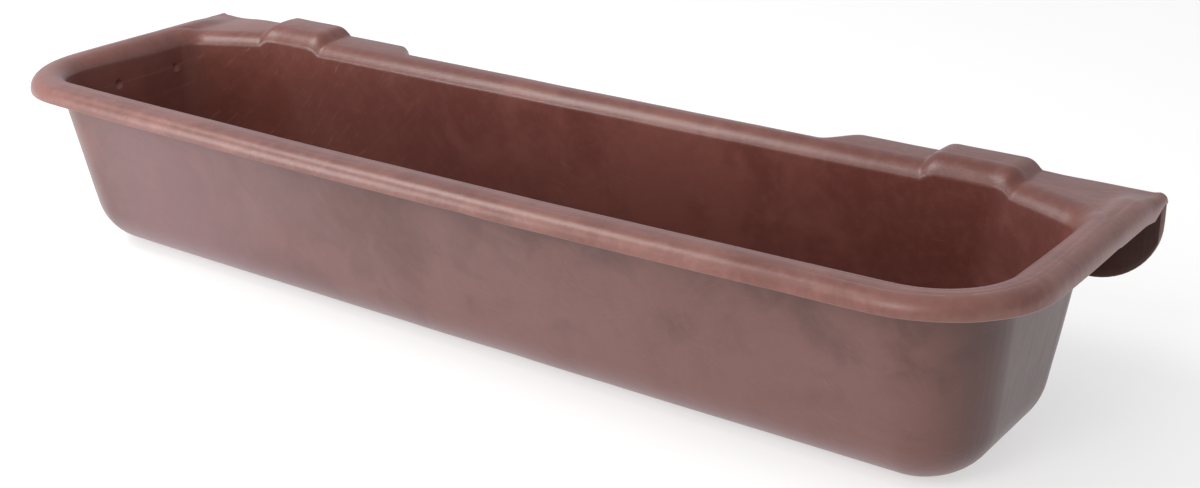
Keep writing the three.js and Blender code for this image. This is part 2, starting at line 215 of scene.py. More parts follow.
def stations():
    out = []
    # the straight rear, from the middle to where the diagonal wall begins
    arc0 = [FLANGE_X0 + FLANGE_R * (1 - math.cos(rad(a))) for a in range(0, 91, 6)]
    xs = set(np.round(np.arange(0, 216, 9.0), 3)) | set(np.round(np.arange(216, 250.4, 2.4), 3))
    xs |= {FLANGE_X0 - 0.25} | set(np.round(arc0, 4)) | {283, 293}
    xs |= set(np.round(np.arange(308.5, 343, 1.9), 3)) | set(np.round(np.arange(346, FAN[0] - 2, 4.5), 3)) | {float(FAN[0])}
    keep = []
    for x in sorted(xs):
        if not keep or x - keep[-1] > 0.2:
            keep.append(float(x))
    for x in keep:
        slope = rear_edge(x + 0.5) - rear_edge(x - 0.5)
        m = np.array([-slope, 1.0])
        m /= np.linalg.norm(m)
        w = smooth(NOTCH_X[0], NOTCH_X[1], x)
        out.append(dict(o=np.array([x, rear_edge(x)]), i=np.array([x, REAR_WALL_Y]), b=np.array([x * CUT[0][1][0] / FAN[0], FLOOR_REAR]),
                        n=np.array([0.0, 1.0]), m=m, ri=20.0, thick=5.0, ro=mix(5.4, 5.8, w), lip=mix(13, 15, w),
                        fz=flange_z(x) if x >= FLANGE_X0 - 1e-6 else None, zone="rear"))
    # the rear corner: a fan from the cut inner corner to the nearly square outer one
    pts = []
    far = [FLANGE_S1 - FLANGE_R * (1 - math.cos(rad(a))) for a in range(90, 0, -6)]
    xs = [x for x in far if x < OC[0]] + list(np.arange(378.6, 410, 1.9)) + list(np.arange(413, 441, 5.0)) + [float(OC[0])]
    xs = sorted(set(np.round(xs, 3)))
    last = FAN[0]
    for x in xs:
        if x - last > 1.2 or x == xs[-1]:
            pts.append((np.array([x, REAR_Y]), np.array([0.0, 1.0]), x))
            last = x
    for a in (10, 20, 30, CORNER_END):
        m = np.array([math.sin(rad(a)), math.cos(rad(a))])
        pts.append((OC + OUTER_REAR_R * m, m, OC[0] + OUTER_REAR_R * rad(a)))
    for a in (CORNER_END + 2.5, 50, 62, 76, 90):
        m = np.array([math.sin(rad(a)), math.cos(rad(a))])
        pts.append((OC + OUTER_REAR_R * m, m, None))
    for y in list(np.arange(145.4, 120, -1.6)) + list(np.arange(118, 96, -4.5)) + list(np.arange(95, FAN[1] + 1, -2.4)) + [FAN[1]]:
        pts.append((np.array([HALF_LENGTH, y]), np.array([1.0, 0.0]), None))
    for o, m, s in pts:
        d = o - FAN
        t = math.atan2(d[0], d[1])
        i, f, n = cut_at(t)
        fz = flange_z(s) if s is not None else None
        if fz is not None:
            lip = 15.0
        else:
            # the lip's lower edge runs straight, then steps up in a short slope towards the corner
            lip = mix(6.8, 16.2, lin(142, 123, o[1])) if m[0] > 0.5 else 7.0
        side = smooth(60, 95, math.degrees(math.atan2(m[0], m[1])))
        out.append(dict(o=o, i=i, b=f, n=n, m=m, ri=20.0, thick=mix(5.0, 4.6, smooth(0, 90, math.degrees(t))),
                        ro=mix(mix(5.8, 8.0, smooth(400, 425, o[0])), mix(6.0, 12.0, smooth(142, 112, o[1])), side),
                        lip=lip, fz=fz, zone="rc"))
    # the end
    def y_of(k, f=DIMPLE_Z / RIM_Z):
        return mix(mix(CUT[-1][1][1], FAN[1], f), mix(CBF[1], CIF[1], f), k)
    span = y_of(0) - y_of(1)
    ks = {0.2, 0.28, 0.36, 0.44, 0.52, 0.6, 0.7, 0.8, 0.9, 0.96}
    for yc in DIMPLE_Y:
        for off in (-9, -6.5, -5.2, -4.6, -4.2, -3, -1.5, 0, 1.5, 3, 4.2, 4.6, 5.2, 6.5, 9):
            k = (y_of(0) - (yc + off)) / span
            if 0.004 < k < 0.995:
                ks.add(round(k, 5))
    for k in sorted(ks):
        out.append(dict(o=np.array([HALF_LENGTH, mix(FAN[1], COF[1], k)]), i=np.array([HALF_LENGTH - END_BEAD, mix(FAN[1], CIF[1], k)]),
                        b=np.array([FLOOR_HALF, mix(CUT[-1][1][1], CBF[1], k)]), n=np.array([1.0, 0.0]), m=np.array([1.0, 0.0]),
                        ri=20.0, thick=4.6, ro=12.0, lip=15.5, fz=None, zone="end"))
    # the front corner
    for deg in np.linspace(0, 90, 31):
        t = rad(deg)
        d = np.array([math.cos(t), -math.sin(t)])
        k = smooth(0, 90, deg)
        ox, ix = COF[0] + OUTER_FRONT_R * d[0], CIF[0] + INNER_FRONT_R * d[0]
        out.append(dict(o=np.array([ox, COF[1] + OUTER_FRONT_R * d[1] + bow_at(ox) * math.sin(t)]),
                        i=np.array([ix, CIF[1] + INNER_FRONT_R * d[1] + bow_at(ix) * math.sin(t)]),
                        b=CBF + FLOOR_FRONT_R * d, n=d, m=d, ri=mix(20, 12, k), thick=mix(4.6, 2, k), ro=12.0, lip=mix(15.5, 13, k),
                        fz=None, zone="fc"))
    # the bowed front
    for x in np.linspace(COF[0], 0, 46)[1:]:
        k = x / COF[0]
        ix = CIF[0] * k
        out.append(dict(o=np.array([x, FRONT_Y + bow_at(x)]), i=np.array([ix, FRONT_Y + FRONT_BEAD + bow_at(ix)]),
                        b=np.array([CBF[0] * k, FLOOR_FRONT]), n=np.array([0.0, -1.0]), m=np.array([0.0, -1.0]),
                        ri=12.0, thick=2.0, ro=12.0, lip=13.0, fz=None, zone="front"))
    return out


FILLET_STEPS = 14
WALL_Z = (58, 72, 86, 99, 110, 119, 126, 128, 130.5, 131.8, 132.4, 132.8, 134, 135.5, 137, 138.5, 140, 141.2, 141.6, 142.2, 143.5, 146)
TOP_STEPS = 3      # between the last of these and the start of the inner rounding
TURN_STEPS = 4
INNER_STEPS = 14
CROWN_STEPS = 14
OUTER_STEPS = 10
LIP_STEPS = 11


def saddle(x, lag):
    """Share of the full saddle height at x, 0 to 1: a crisp foot and a rounded shoulder, a little narrower on the tub's side."""
    x = abs(x)
    f = SADDLE_X
    up = lin(f[0] + 4 * lag, f[1] + 5 * lag, x)
    down = lin(f[3] - 5 * lag, f[2] - 4 * lag, x)
    s = min(up, down)
    s = 1 - (1 - s) ** 2.2
    return s * s * (3 - 2 * s) * 0.35 + s * 0.65


def section(s, seed):
    """Rows of one station, upper skin and underside, from the floor out to the lip, with each row's kind."""
    top, under, kind = [], [], []

    def put(p, q, z, zu, what):
        top.append((p[0], p[1], z))
        under.append((q[0], q[1], zu))
        kind.append(what)

    H = crown_z(*s["i"])
    n, m = s["n"], s["m"]
    lean = math.atan2(float(np.dot(s["i"] - s["b"], n)), H)
    at_rear = s["zone"] in ("rear", "rc")

    def wall(z):
        return s["b"] + (s["i"] - s["b"]) * (z / H)

    def rise(p, row):
        if not at_rear or p[1] < 60:
            return 0.0
        return SADDLE_RISE * saddle(p[0], 1 - row)

    zc = WALL + FILLET
    c = wall(zc) - n * (FILLET / math.cos(lean))
    for j in range(FILLET_STEPS + 1):
        a = j / FILLET_STEPS * (math.pi / 2 - lean)
        put(c + n * FILLET * math.sin(a), c + n * (FILLET + WALL) * math.sin(a),
            zc - FILLET * math.cos(a), zc - (FILLET + WALL) * math.cos(a), "fillet")
    z_end = zc - FILLET * math.sin(lean)
    # the wall, whose inner face stands a little further in near the rim
    R, r = s["ri"], min(TURN_R, s["ri"] * 0.4)
    t1, tw = rad(TURN_TILT), math.pi / 2 - lean
    z_top = H - R + (R - r) * math.cos(t1) + r * math.cos(tw)
    ru = 11.0 if R > 15 else mix(6.0, 11.0, (R - 12) / 3) if R > 12 else 6.0
    zu_top = H - WALL - ru + ru * math.sin(lean)
    start = H - 42
    rows = [(z, z) for z in WALL_Z]
    rows += [(mix(WALL_Z[-1], z_top, j / (TOP_STEPS + 1)), mix(WALL_Z[-1], zu_top, j / (TOP_STEPS + 1))) for j in range(1, TOP_STEPS + 1)]
    if z_end > rows[0][0] - 6:
        rows[0] = (z_end + 6, z_end + 6)
    for z, zu in rows:
        w, wu = wall(z), wall(zu)
        dz = rise(w, 0) * 0.7 * smooth(start, z_top, z)
        put(w - n * (s["thick"] * smooth(62, 150, z)), wu + n * (WALL / math.cos(lean)), z + dz, zu + dz, "wall")
    # inner rounding: a tight turn, then a broad arc up to the crown
    c_small = wall(z_top) - n * s["thick"] + n * (r * math.sin(tw))
    z_small = z_top - r * math.cos(tw)
    c_big = c_small + n * ((R - r) * math.sin(t1))
    z_big = z_small - (R - r) * math.cos(t1)
    cu = wall(H - WALL - ru) + n * ((WALL + ru) / math.cos(lean))
    H_top = crown_z(*c_big)
    for j in range(INNER_STEPS + 1):
        k = j / INNER_STEPS
        if j <= TURN_STEPS:
            t = mix(tw, t1, j / TURN_STEPS)
            p, z = c_small - n * (r * math.sin(t)), z_small + r * math.cos(t)
        else:
            t = t1 * (1 - (j - TURN_STEPS) / (INNER_STEPS - TURN_STEPS))
            p, z = c_big - n * (R * math.sin(t)), z_big + R * math.cos(t)
        b = mix(lean, math.pi / 2, k)
        up = (H_top - H) * smooth(0, 1, k) + rise(p, k) * mix(0.7, 1, smooth(0, 1, k))
        put(p, cu - n * (ru * math.cos(b)), z + up, H - WALL - ru + ru * math.sin(b) + up, "inner")
    crown_in = (np.array(top[-1]), np.array(under[-1]))
    # outer rounding
    co = s["o"] - m * s["ro"]
    Ho = crown_z(*co)
    zo = Ho - s["ro"]
    ru = max(s["ro"] - WALL, 0.6)
    full = s["lip"] >= s["ro"]
    last = math.pi / 2 if full else math.acos(1 - s["lip"] / s["ro"])
    outer = []
    for j in range(OUTER_STEPS + 1):
        a = j / OUTER_STEPS * math.pi / 2
        a = min(a, last - (OUTER_STEPS - j) * rad(0.25))
        k = a / (math.pi / 2)
        p = co + m * s["ro"] * math.sin(a)
        dz = rise(p, 1) * mix(1, 0.45, k * k * k)
        outer.append((p, co + m * ru * math.sin(a), zo + s["ro"] * math.cos(a) + dz, Ho - WALL - ru + ru * math.cos(a) + dz))
    # crown, very slightly convex
    start_out = (np.array([*outer[0][0], outer[0][2]]), np.array([*outer[0][1], outer[0][3]]))
    width = float(np.linalg.norm(start_out[0][:2] - crown_in[0][:2]))
    bulge = min(0.45, width * 0.04)
    for j in range(1, CROWN_STEPS):
        k = 1 - (1 - j / CROWN_STEPS) ** 1.45
        t = crown_in[0] + (start_out[0] - crown_in[0]) * k
        u = crown_in[1] + (start_out[1] - crown_in[1]) * k
        up = bulge * math.sin(math.pi * k)
        if at_rear and width > 3:
            z = crown_z(t[0], t[1]) + rise(t, 1)
            gap = min(1.0, k * width / 3, (1 - k) * width / 3)
            z = mix(t[2], z, gap)
            up += z - t[2]
        top.append((t[0], t[1], t[2] + up))
        under.append((u[0], u[1], u[2] + up))
        kind.append("crown")
    for p, q, z, zu in outer:
        put(p, q, z, zu, "outer")
    # lip, or the flange below it
    p, q, z, zu = outer[-1]
    x, y = s["o"]
    rag = 0.28 * noise.noise(Vector((x * 0.05, y * 0.05, seed))) + 0.16 * noise.noise(Vector((x * 0.31, y * 0.31, 7 + seed)))
    bottom = s["fz"] if s["fz"] is not None else Ho - s["lip"] - (0.3 if full else 0.8)
    bottom = bottom + (0.0 if s["fz"] is not None else rag)
    bottom = min(bottom, min(z, zu) - 0.9)
    edge_r = 1.25
    for j in range(1, LIP_STEPS + 1):
        k = j / LIP_STEPS
        lo = bottom + min(edge_r, (z - bottom) * 0.6)
        lo_u = bottom + min(edge_r, (zu - bottom) * 0.6)
        put(p, q, mix(z, lo, k), mix(zu, lo_u, k), "lip")
    # rounded edge: outer half on the upper skin's side, inner half on the underside's
    r = min(edge_r, (z - bottom) * 0.6)
    for a in (30, 60, 90):
        ca, sa = math.cos(rad(a)), math.sin(rad(a))
        put(p - m * r * (1 - ca), q + m * r * (1 - ca), bottom + r * (1 - sa), bottom + r * (1 - sa), "edge")
    return top, under, kind


# ------------------------------------------------------------------ meshes
def mesh_object(name, verts, faces, attributes=None, sharp=None):
    me = bpy.data.meshes.new(name)
    me.from_pydata([tuple(v) for v in verts], [], faces)
    me.validate(clean_customdata=False)
    for key, values in (attributes or {}).items():
        a = me.attributes.new(key, "FLOAT", "POINT")
        a.data.foreach_set("value", np.asarray(values, np.float32))
    me.shade_smooth()
    if sharp:
        me.set_sharp_from_angle(angle=rad(sharp))
    me.update()
    ob = bpy.data.objects.new(name, me)
    bpy.context.scene.collection.objects.link(ob)
    return ob


def wave(p):
    """Slow unevenness of a moulded wall, in mm, the same for both skins."""
    x, y, z = p
    v = Vector((x * 0.011, y * 0.013, z * 0.013))
    w = Vector((x * 0.034 + 9, y * 0.034, z * 0.034))
    return Vector((noise.noise(v + Vector((3, 0, 0))), noise.noise(v + Vector((0, 17, 0))), noise.noise(v + Vector((0, 0, 31))))) * 0.55 + \
        Vector((noise.noise(w), noise.noise(w + Vector((0, 11, 0))), noise.noise(w + Vector((0, 0, 5))))) * 0.16


def settle(p):
    """Shifts that the moulding took as it cooled: the rear edge runs askew between the flanges, one rear corner stands out."""
    x, y, z = p
    w = smooth(112, 128, y) * (1 - smooth(222, 246, abs(x)))
    v = smooth(100, 146, y)
    dy = -(1.2 + 0.0125 * x) * w
    dz = -0.0021 * x * v - 0.6 * w
    e = smooth(470, 498, -x) * smooth(100, 134, y)
    f = smooth(430, 480, -x) * smooth(96, 140, y)
    return Vector((-6.0 * e, dy, dz - 2.4 * f + 1.2 * e))


def dimpled(p, side_x):
    """Moves a point of the end wall's inner face onto the round rim or into the bowl of a blind dimple."""
    x, y, z = p
    for yc in DIMPLE_Y:
        dy, dz = y - yc, z - DIMPLE_Z
        s = max(abs(dy), abs(dz))
        if s >= 6.6:
            continue
        rho = math.hypot(dy, dz)
        w = 1 - smooth(4.9, 6.6, s)
        if rho > 1e-6:
            k = mix(1.0, s / rho, w)
            dy, dz = dy * k, dz * k
        rho = math.hypot(dy, dz)
        reach = math.sqrt(DIMPLE_R ** 2 - (DIMPLE_R - DIMPLE_SINK) ** 2)
        deep = 0.0
        if rho < reach:
            deep = math.sqrt(DIMPLE_R ** 2 - rho ** 2) - (DIMPLE_R - DIMPLE_SINK)
        x_new = x + side_x * deep
        return (x_new, yc + dy, DIMPLE_Z + dz), (1.0 if rho < reach + 0.3 else 0.0)
    return p, 0.0


def build_shell():
    half = stations()
    secs = [section(s, 3.0) for s in half]
    left = [section(dict(s), 41.0) for s in half[1:-1]]
    rows = len(secs[0][0])
    kinds = secs[0][2]
    ring = []
    for s, (t, u, _) in zip(half, secs):
        ring.append((1, s, t, u))
    for s, (t, u, _) in reversed(list(zip(half[1:-1], left))):
        ring.append((-1, s, [(-p[0], p[1], p[2]) for p in t], [(-p[0], p[1], p[2]) for p in u]))
    n = len(ring)
    verts, along, across, inner, lip, flange, outside = [], [], [], [], [], [], []
    length = 0.0
    base = {}
    prev = None
    arc = []
    for s in half:
        if prev is not None:
            length += float(np.linalg.norm(s["o"] - prev))
        prev = s["o"]
        arc.append(length)
    arc_of = {id(s): a for s, a in zip(half, arc)}
    for side, s, t, u in ring:
        end_zone = s["zone"] == "end"
        dist = 0.0
        t2, u2 = [], []
        for k, (p, q) in enumerate(zip(t, u)):
            inside = kinds[k] in ("fillet", "wall", "inner")
            dim = 0.0
            if end_zone and kinds[k] == "wall":
                p, dim = dimpled(p, side)
            d = wave(t[k])
            fade = 1.0
            if kinds[k] == "fillet":
                fade = smooth(0, 6, k)
            if kinds[k] in ("lip", "edge", "outer") and s["fz"] is None:
                fade = 0.75
            d = d * fade + settle(t[k])
            t2.append((p[0] + d.x, p[1] + d.y, p[2] + d.z * (0.6 if inside else 1)))
            u2.append((q[0] + d.x, q[1] + d.y, q[2] + d.z * (0.6 if inside else 1)))
        for k in range(rows):
            if k:
                dist += math.dist(t2[k], t2[k - 1])
            verts.append(t2[k])
            along.append(arc_of[id(s)] * MM)
            across.append(dist * MM)
            inner.append(1.0 if kinds[k] in ("fillet", "wall") else (0.5 if kinds[k] == "inner" else 0.0))
            e = 1.0 if kinds[k] == "edge" else 0.0
            if kinds[k] == "lip" and s["fz"] is None:
                e = 0.35 * lin(0, LIP_STEPS, k - kinds.index("lip"))
            lip.append(e)
            flange.append(1.0 if (s["fz"] is not None and kinds[k] in ("lip", "edge")) else 0.0)
            outside.append(0.0)
        total = dist
        for k in range(rows - 1, -1, -1):
            if k < rows - 1:
                dist += math.dist(u2[k], u2[k + 1])
            verts.append(u2[k])
            along.append(arc_of[id(s)] * MM)
            across.append((2 * total - dist) * MM)
            inner.append(0.0 if kinds[k] in ("fillet", "wall") else -1.0)
            lip.append(1.0 if kinds[k] == "edge" else 0.0)
            flange.append(0.0)
            outside.append(1.0 if kinds[k] in ("fillet", "wall") else 0.0)
    m = 2 * rows
    faces = []
    for a in range(n):
        b = (a + 1) % n
        for k in range(m - 1):
            faces.append((a * m + k, a * m + k + 1, b * m + k + 1, b * m + k))

    # floors: the two flat patches with the drain seats
    def add(p, al=0.0, ac=0.0, inn=1.0):
        verts.append(p)
        along.append(al)
        across.append(ac)
        inner.append(inn)
        lip.append(0.0)
        flange.append(0.0)
        outside.append(0.0 if inn > 0 else 1.0)
        return len(verts) - 1

    SEG = 56
    profile = [(41.0, 4.0), (39.8, 4.12), (38.6, 4.6), (37.7, 5.4), (33.4, 10.9), (32.5, 11.6), (31.2, 11.95), (29.6, 12.0), (22, 12.0),
               (13.2, 12.0), (12.0, 11.8), (11.3, 11.3), (11.05, 10.6), (11.0, 9.4), (11.15, 8.6), (11.6, 8.15), (12.4, 8.0),
               (20, 8.0), (26.6, 8.0), (28.2, 7.8), (29.4, 7.0), (33.6, 1.3), (34.5, 0.4), (36.0, 0.0)]
    seat_rings = {}
    for side in (1, -1):
        rings = []
        for r, z in profile:
            rings.append([add((side * DRAIN_X + r * math.cos(2 * math.pi * j / SEG), DRAIN_Y + r * math.sin(2 * math.pi * j / SEG), z),
                              inn=1.0 if z > 8.2 or r > 38 else -0.5) for j in range(SEG)])
        for a, b in zip(rings, rings[1:]):
            for j in range(SEG):
                j2 = (j + 1) % SEG
                faces.append((a[j], b[j], b[j2], a[j2]))
        seat_rings[side] = (rings[0], rings[-1])

    def fill(loop, holes, z, upward, spacing):
        pts, ids = [], []
        edges = []
        for ring_ids in [loop] + holes:
            o = len(pts)
            for v in ring_ids:
                pts.append(Vector((verts[v][0], verts[v][1])))
                ids.append(v)
            edges += [(o + j, o + (j + 1) % len(ring_ids)) for j in range(len(ring_ids))]
        poly = np.array([verts[v][:2] for v in loop])
        lo, hi = poly.min(0), poly.max(0)

        def inside(x, y):
            c = False
            j = len(poly) - 1
            for i in range(len(poly)):
                if (poly[i, 1] > y) != (poly[j, 1] > y) and x < (poly[j, 0] - poly[i, 0]) * (y - poly[i, 1]) / (poly[j, 1] - poly[i, 1]) + poly[i, 0]:
                    c = not c
                j = i
            return c

        for gx in np.arange(lo[0] + spacing / 2, hi[0], spacing):
            for gy in np.arange(lo[1] + spacing / 2, hi[1], spacing):
                if not inside(gx, gy) or np.min(np.hypot(poly[:, 0] - gx, poly[:, 1] - gy)) < spacing * 0.45:
                    continue
                if any(math.hypot(gx - sd * DRAIN_X, gy - DRAIN_Y) < 41 + spacing * 0.45 for sd in (1, -1)):
                    continue
                pts.append(Vector((gx, gy)))
                edge = min(1.0, float(np.min(np.hypot(poly[:, 0] - gx, poly[:, 1] - gy))) / 40)
                ids.append(add((gx, gy, z + (0.25 * noise.noise(Vector((gx * 0.02, gy * 0.02, 5))) * edge if upward else 0.0)),
                               inn=1.0 if upward else -1.0))
        coords, _, tris, orig, _, _ = delaunay_2d_cdt(pts, edges, [], 0, 1e-5)
        index = []
        for j, src in enumerate(orig):
            index.append(ids[src[0]] if src else add((coords[j][0], coords[j][1], z)))
        hole_c = [(sd * DRAIN_X, DRAIN_Y) for sd in (1, -1)]
        hole_r = 41.0 if upward else 36.0
        for t in tris:
            cx = sum(coords[v][0] for v in t) / 3
            cy = sum(coords[v][1] for v in t) / 3
            if any(math.hypot(cx - hx, cy - hy) < hole_r - 0.02 for hx, hy in hole_c) or not inside(cx, cy):
                continue
            a, b, c = (index[v] for v in t)
            if len({a, b, c}) < 3:
                continue
            va, vb, vc = (coords[v] for v in t)
            area = (vb[0] - va[0]) * (vc[1] - va[1]) - (vb[1] - va[1]) * (vc[0] - va[0])
            if abs(area) < 1e-9:
                continue
            faces.append((a, b, c) if (area > 0) == upward else (a, c, b))

    fill([a * m for a in range(n)], [seat_rings[1][0], seat_rings[-1][0]], 4.0, True, 24.0)
    fill([a * m + m - 1 for a in range(n)], [seat_rings[1][1], seat_rings[-1][1]], 0.0, False, 48.0)
    vs = np.array(verts, float) * MM
    ob = mesh_object("trough_moulding", vs, faces,
                     {"along": along, "across": across, "inner": inner, "lip": lip, "flange": flange, "outside": outside})
    bm = bmesh.new()
    bm.from_mesh(ob.data)
    # slivers that the triangulation left outside the floor's outline
    stray = [f for f in bm.faces if any(len(e.link_faces) == 1 for e in f.edges) and any(len(e.link_faces) > 2 for e in f.edges)]
    bmesh.ops.delete(bm, geom=stray, context="FACES")
    bmesh.ops.recalc_face_normals(bm, faces=bm.faces)
    open_edges = sum(1 for e in bm.edges if not e.is_manifold)
    volume = bm.calc_volume(signed=True)
    bm.to_mesh(ob.data)
    bm.free()
    ob.data.shade_smooth()
    ob.data.set_sharp_from_angle(angle=rad(32))
    print("shell:", len(ob.data.vertices), "vertices,", len(ob.data.polygons), "faces,", open_edges, "open edges, volume", round(volume * 1e6), "cm3")
    return ob


def build_bung(name, side):
    """Turned rubber plug: ribbed plug body, sealing flange with a bead, waisted finger grip with shallow flutes."""
    seat = 12.3
    prof = [(0, 3.0), (6.5, 3.0), (8.3, 3.15), (9.0, 3.6), (9.6, 4.4), (10.35, 5.4), (10.6, 6.0), (10.35, 6.6), (10.3, 7.2), (10.6, 7.9),
            (10.6, 8.6), (10.3, 9.3), (10.35, 10.0), (10.6, 10.6), (10.6, seat - 0.35), (10.9, seat), (12.5, seat), (16.4, seat), (17.5, seat + 0.1),
            (17.95, seat + 0.6), (18.0, seat + 1.5), (17.8, seat + 2.3), (17.1, seat + 3.0), (16.2, seat + 3.5), (14.9, seat + 3.7), (14.1, seat + 3.45),
            (13.3, seat + 3.2), (12.4, seat + 3.45), (11.6, seat + 3.8), (9.2, seat + 4.0), (7.3, seat + 4.15), (6.0, seat + 4.7), (5.2, seat + 5.6),
            (5.0, seat + 6.6), (5.2, seat + 7.5), (5.9, seat + 8.3), (6.7, seat + 8.9), (7.0, seat + 9.6), (6.9, seat + 10.4), (6.4, seat + 11.0),
            (5.4, seat + 11.35), (4.0, seat + 11.45), (2.6, seat + 11.2), (1.2, seat + 11.0), (0, seat + 10.95)]
    # refine between the given points with a smooth curve
    pts = [Vector((r, z)) for r, z in prof]
    fine = []
    for j in range(len(pts) - 1):
        p0, p1, p2, p3 = pts[max(j - 1, 0)], pts[j], pts[j + 1], pts[min(j + 2, len(pts) - 1)]
        for k in (0, 0.5):
            v = p1.lerp(p2, k) if k == 0 else 0.5 * ((2 * p1) + (p2 - p0) * k + (2 * p0 - 5 * p1 + 4 * p2 - p3) * k ** 2 + (3 * p1 - p0 - 3 * p2 + p3) * k ** 3)
            fine.append((max(v.x, 0.0), v.y))
    fine.append(prof[-1])
    SEG = 72
    verts, faces = [], []
    first = len(verts)
    verts.append((0, 0, fine[0][1]))
    rings = []
    for r, z in fine[1:-1]:
        ring = []
        for j in range(SEG):
            a = 2 * math.pi * j / SEG
            rr = r
            if seat + 7.6 < z < seat + 11.2:  # flutes on the grip
                rr = r * (1 - 0.035 * (0.5 + 0.5 * math.cos(12 * a)) * smooth(seat + 7.6, seat + 8.6, z) * (1 - smooth(seat + 10.6, seat + 11.2, z)))
            ring.append(len(verts))
            verts.append((rr * math.cos(a), rr * math.sin(a), z))
        rings.append(ring)
    end = len(verts)
    verts.append((0, 0, fine[-1][1]))
    for j in range(SEG):
        j2 = (j + 1) % SEG
        faces.append((first, rings[0][j2], rings[0][j]))
        faces.append((end, rings[-1][j], rings[-1][j2]))
        for a, b in zip(rings, rings[1:]):
            faces.append((a[j], a[j2], b[j2], b[j]))
    vs = [((side * DRAIN_X + x) * MM, (DRAIN_Y + y) * MM, z * MM) for x, y, z in verts]
    return mesh_object(name, vs, faces, sharp=40)


# ------------------------------------------------------------------ materials
class Nodes:
    def __init__(self, name):
        self.mat = bpy.data.materials.new(name)
        self.mat.use_nodes = True
        self.t = self.mat.node_tree
        self.t.nodes.clear()
        self.out = self.t.nodes.new("ShaderNodeOutputMaterial")
        self.bsdf = self.t.nodes.new("ShaderNodeBsdfPrincipled")
        self.t.links.new(self.bsdf.outputs[0], self.out.inputs[0])

    def new(self, kind, **props):
        n = self.t.nodes.new(kind)
        for k, v in props.items():
            setattr(n, k, v)
        return n

    def link(self, a, b):
        self.t.links.new(a, b)
        return b

    def feed(self, socket, value):
        if isinstance(value, bpy.types.NodeSocket):
            self.t.links.new(value, socket)
        else:
            socket.default_value = value

    def math(self, op, a, b=None, c=None, clamp=False):
        n = self.new("ShaderNodeMath", operation=op, use_clamp=clamp)
        self.feed(n.inputs[0], a)
        if b is not None:
            self.feed(n.inputs[1], b)
        if c is not None:
            self.feed(n.inputs[2], c)
        return n.outputs[0]

    def attr(self, name):
        n = self.new("ShaderNodeAttribute", attribute_name=name)
        return n.outputs["Fac"]

    def position(self):
        return self.new("ShaderNodeTexCoord").outputs["Object"]

    def xyz(self, v):
        n = self.new("ShaderNodeSeparateXYZ")
        self.link(v, n.inputs[0])
        return n.outputs

    def combine(self, x, y, z):
        n = self.new("ShaderNodeCombineXYZ")
        for s, v in zip(n.inputs, (x, y, z)):
            self.feed(s, v)
        return n.outputs[0]

    def mapping(self, v, scale=(1, 1, 1), rotation=(0, 0, 0), location=(0, 0, 0)):
        n = self.new("ShaderNodeMapping")
        self.link(v, n.inputs["Vector"])
        n.inputs["Scale"].default_value = scale
        n.inputs["Rotation"].default_value = rotation
        n.inputs["Location"].default_value = location
        return n.outputs[0]

    def vadd(self, a, b):
        n = self.new("ShaderNodeVectorMath", operation="ADD")
        self.link(a, n.inputs[0])
        self.link(b, n.inputs[1])
        return n.outputs[0]

    def vscale(self, a, k):
        n = self.new("ShaderNodeVectorMath", operation="SCALE")
        self.link(a, n.inputs[0])
        self.feed(n.inputs["Scale"], k)
        return n.outputs[0]

    def noise(self, v, scale, detail=3.0, rough=0.5, distort=0.0, color=False):
        n = self.new("ShaderNodeTexNoise")
        self.link(v, n.inputs["Vector"])
        n.inputs["Scale"].default_value = scale
        n.inputs["Detail"].default_value = detail
        n.inputs["Roughness"].default_value = rough
        n.inputs["Distortion"].default_value = distort
        return n.outputs["Color" if color else "Fac"]

    def range(self, v, lo, hi, to_lo=0.0, to_hi=1.0, smoothed=True):
        n = self.new("ShaderNodeMapRange", interpolation_type="SMOOTHSTEP" if smoothed else "LINEAR")
        self.feed(n.inputs[0], v)
        for s, x in zip(n.inputs[1:5], (lo, hi, to_lo, to_hi)):
            s.default_value = x
        return n.outputs[0]

    def mix(self, fac, a, b, blend="MIX"):
        n = self.new("ShaderNodeMix", data_type="RGBA", blend_type=blend)
        self.feed(n.inputs[0], fac)
        for s, v in ((n.inputs[6], a), (n.inputs[7], b)):
            if isinstance(v, bpy.types.NodeSocket):
                self.link(v, s)
            else:
                s.default_value = (*v, 1.0) if len(v) == 3 else v
        return n.outputs[2]

    def bump(self, height, distance, strength=1.0, normal=None):
        n = self.new("ShaderNodeBump")
        self.link(height, n.inputs["Height"])
        n.inputs["Distance"].default_value = distance
        n.inputs["Strength"].default_value = strength
        if normal is not None:
            self.link(normal, n.inputs["Normal"])
        return n.outputs[0]


